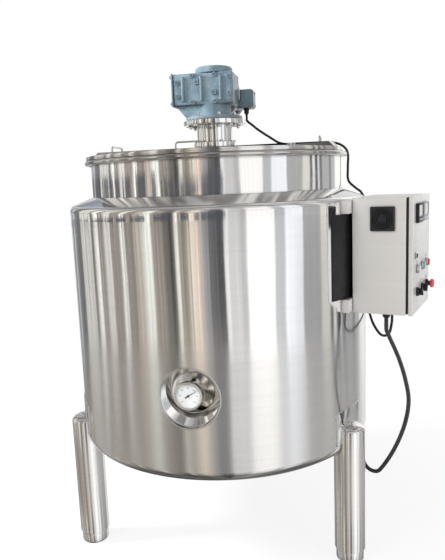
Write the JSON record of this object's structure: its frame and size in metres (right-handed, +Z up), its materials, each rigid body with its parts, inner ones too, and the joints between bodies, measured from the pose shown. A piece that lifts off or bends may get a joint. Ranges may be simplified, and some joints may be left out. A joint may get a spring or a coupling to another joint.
{
  "type": "heated stainless steel process tank with agitator drive",
  "caption": "Insulated stainless steel tank on three legs with a geared agitator drive, split lid, dial thermometer and a side control cabinet.",
  "frame": {"origin": "on the ground, on the tank's vertical axis, between the three feet", "axes": "+Z up along the tank's axis, -Y towards the front with the thermometer and the lifting lid, +X to the right of someone who faces the front"},
  "size_m": [1.3345, 1.155, 1.765],
  "materials": {
    "brushed_steel": "fine vertical brushing, satin",
    "polished_steel": "mirror polished stainless steel",
    "blue_grey_paint": "semi-gloss blue-grey machine paint",
    "cast_aluminium": "bare die casting, satin",
    "black_plastic": "matt",
    "grey_plastic": "matt",
    "black_rubber": "matt",
    "white_enamel": "smooth white enamel",
    "clear_glass": "clear",
    "green_plastic": "glossy",
    "red_plastic": "glossy",
    "teal_plastic": "glossy",
    "grey_paint": "light grey powder coat"
  },
  "bodies": {
    "root": {"agitator_anchor": "polished_steel", "agitator_shaft": "polished_steel", "bridge": "brushed_steel", "bridge_handle_left": "polished_steel", "bridge_handle_right": "polished_steel", "cabinet_body": "brushed_steel", "cabinet_bracket_lower": "brushed_steel", "cabinet_bracket_upper": "brushed_steel", "cabinet_gland_heater": "black_plastic", "cabinet_gland_motor": "black_plastic", "fan_grille": "black_plastic", "foot_left": "brushed_steel", "foot_rear": "brushed_steel", "foot_right": "brushed_steel", "gauge_pocket": "polished_steel", "gear_end_cover": "blue_grey_paint", "gear_housing": "blue_grey_paint", "gear_top_cover": "blue_grey_paint", "heater_box": "brushed_steel", "heater_cable": "black_rubber", "heater_gland": "black_plastic", "jacket_bottom": "brushed_steel", "jacket_shoulder": "brushed_steel", "jacket_wall": "brushed_steel", "leg_left": "brushed_steel", "leg_rear": "brushed_steel", "leg_right": "brushed_steel", "motor_body": "blue_grey_paint", "motor_cable": "black_rubber", "motor_flange": "cast_aluminium", "motor_gland": "black_plastic", "motor_terminal_box": "blue_grey_paint", "mounting_plate": "grey_paint", "outlet_pipe": "polished_steel", "pedestal": "polished_steel", "rear_lid": "polished_steel", "rear_lid_handle": "polished_steel", "rim_ring": "polished_steel", "switchgear": "grey_plastic", "thermometer_case": "polished_steel", "thermometer_dial": "white_enamel", "thermometer_glass": "clear_glass", "thermometer_pointer": "black_plastic", "vessel_bottom": "polished_steel", "vessel_wall": "polished_steel"},
    "front_lid": {"front_lid": "polished_steel", "front_lid_handle": "polished_steel"},
    "cabinet_door": {"cabinet_door": "brushed_steel", "door_gasket": "black_rubber", "door_lock": "grey_plastic", "temperature_display": "black_plastic", "timer_display": "grey_plastic", "signal_lamp": "teal_plastic", "start_button": "green_plastic", "stop_button": "red_plastic", "heating_selector": "black_plastic", "mixer_selector": "black_plastic", "emergency_stop": "red_plastic"}
  },
  "joints": [
    {"name": "front_lid_hinge", "type": "hinge", "parent": "root", "child": "front_lid", "pos_m": [0, -0.1265, 1.458], "axis": [-1, 0, 0], "range_deg": [0, 95]},
    {"name": "cabinet_door_hinge", "type": "hinge", "parent": "root", "child": "cabinet_door", "pos_m": [0.75503, -0.02309, 1.0887], "axis": [0, 0, 1], "range_deg": [0, 120]}
  ]
}
